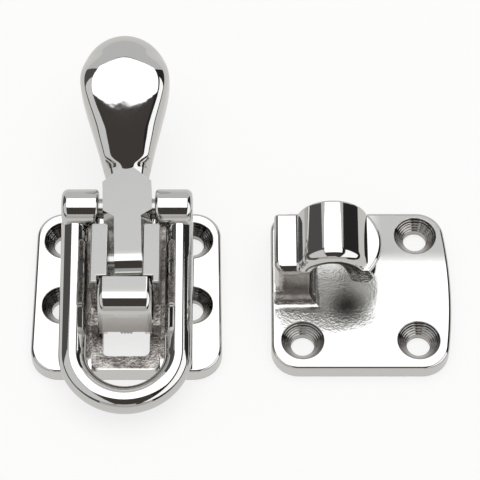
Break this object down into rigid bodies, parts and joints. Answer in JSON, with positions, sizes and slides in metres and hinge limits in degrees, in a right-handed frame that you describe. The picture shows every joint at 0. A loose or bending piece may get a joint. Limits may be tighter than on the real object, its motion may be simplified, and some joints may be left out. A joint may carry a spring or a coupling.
{
  "type": "over centre toggle latch",
  "caption": "Polished steel over centre toggle latch with a teardrop lever, a round-rod loop, a thumb catch and a separate hooked keeper plate.",
  "frame": {"origin": "centre of the base plate's back face, where the latch is screwed down", "axes": "+X across the latch towards the keeper, +Y from the loop's bow towards the handle, +Z out of the mounting face"},
  "size_m": [0.1221, 0.1132, 0.041],
  "materials": {
    "polished_steel": "mirror polished",
    "pin_steel": "turned",
    "spring_steel": "drawn wire"
  },
  "bodies": {
    "base": {"base": "polished_steel", "lever_pin": "pin_steel", "catch_pin": "pin_steel", "catch_spring": "spring_steel", "keeper": "polished_steel"},
    "lever": {"lever": "polished_steel"},
    "loop_pin": {"loop_pin": "pin_steel"},
    "loop": {"loop": "polished_steel"},
    "catch": {"catch": "polished_steel"}
  },
  "joints": [
    {"name": "lever_throw", "type": "hinge", "parent": "base", "child": "lever", "pos_m": [0, 0.00125, 0.0195], "axis": [1, 0, 0], "range_deg": [0, 100]},
    {"name": "loop_pin_turn", "type": "hinge", "parent": "lever", "child": "loop_pin", "pos_m": [0, 0.01925, 0.0195], "axis": [1, 0, 0], "range_deg": [-100, 0]},
    {"name": "loop_swing", "type": "hinge", "parent": "loop_pin", "child": "loop", "pos_m": [0, 0.01925, 0.0195], "axis": [-1, 0, 0], "range_deg": [0, 145]},
    {"name": "catch_press", "type": "hinge", "parent": "base", "child": "catch", "pos_m": [0, -0.01275, 0.0086], "axis": [1, 0, 0], "range_deg": [0, 8], "stiffness_Nm_per_rad": 0.2, "springref_deg": -17.19, "deforming": ["catch_spring"]}
  ],
  "couplings": [
    {"joint": "loop_pin_turn", "follows": "lever_throw", "ratio": -1}
  ]
}
